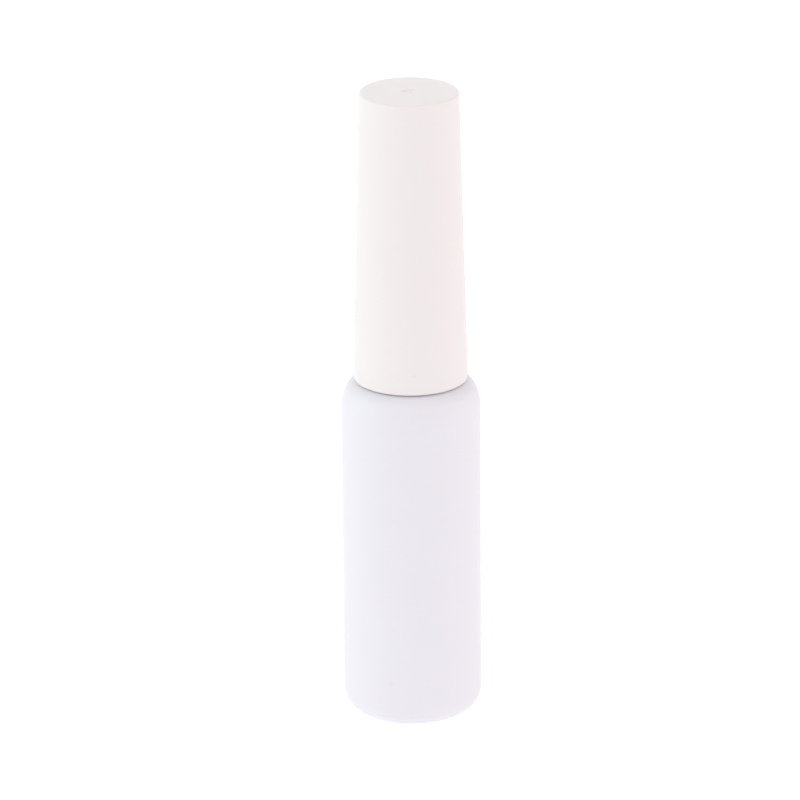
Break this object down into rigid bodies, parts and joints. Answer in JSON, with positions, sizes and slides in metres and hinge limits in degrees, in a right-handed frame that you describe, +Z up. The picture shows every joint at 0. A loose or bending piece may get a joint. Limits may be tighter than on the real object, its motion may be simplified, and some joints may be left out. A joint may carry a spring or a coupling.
{
  "type": "glue applicator bottle",
  "caption": "Slim round glue bottle with a rounded shoulder and a tall tapered screw cap that carries a brush on a stem, drawn out through a wiper in the threaded neck.",
  "frame": {"origin": "centre of the foot ring's face, on the surface that the bottle stands on", "axes": "+Z up along the bottle's axis towards the cap; +X and +Y are any two square directions across it"},
  "size_m": [0.02, 0.02, 0.094],
  "materials": {
    "bottle_plastic": "satin",
    "cap_plastic": "satin",
    "natural_plastic": "satin",
    "soft_plastic": "satin",
    "bristle_nylon": "satin",
    "staple_metal": "satin"
  },
  "bodies": {
    "bottle": {"bottle": "bottle_plastic", "neck_wiper": "soft_plastic"},
    "seal": {"seal_ring": "soft_plastic"},
    "brush": {"brush_stem": "natural_plastic", "bristle_tuft": "bristle_nylon", "bristle_staple": "staple_metal"},
    "cap": {"inner_cap": "natural_plastic", "outer_cap": "cap_plastic"}
  },
  "joints": [
    {"name": "brush_pull", "type": "slide", "parent": "bottle", "child": "seal", "axis": [0, 0, 1], "range_m": [0, 0.075]},
    {"name": "cap_rise", "type": "slide", "parent": "seal", "child": "brush", "axis": [0, 0, 1], "range_m": [0, 0.00424]},
    {"name": "cap_turn", "type": "hinge", "parent": "brush", "child": "cap", "pos_m": [0, 0, 0.0646], "axis": [0, 0, 1], "range_deg": [0, 720]}
  ],
  "couplings": [
    {"joint": "cap_rise", "follows": "cap_turn", "m_per_rad": 0.00033741}
  ]
}
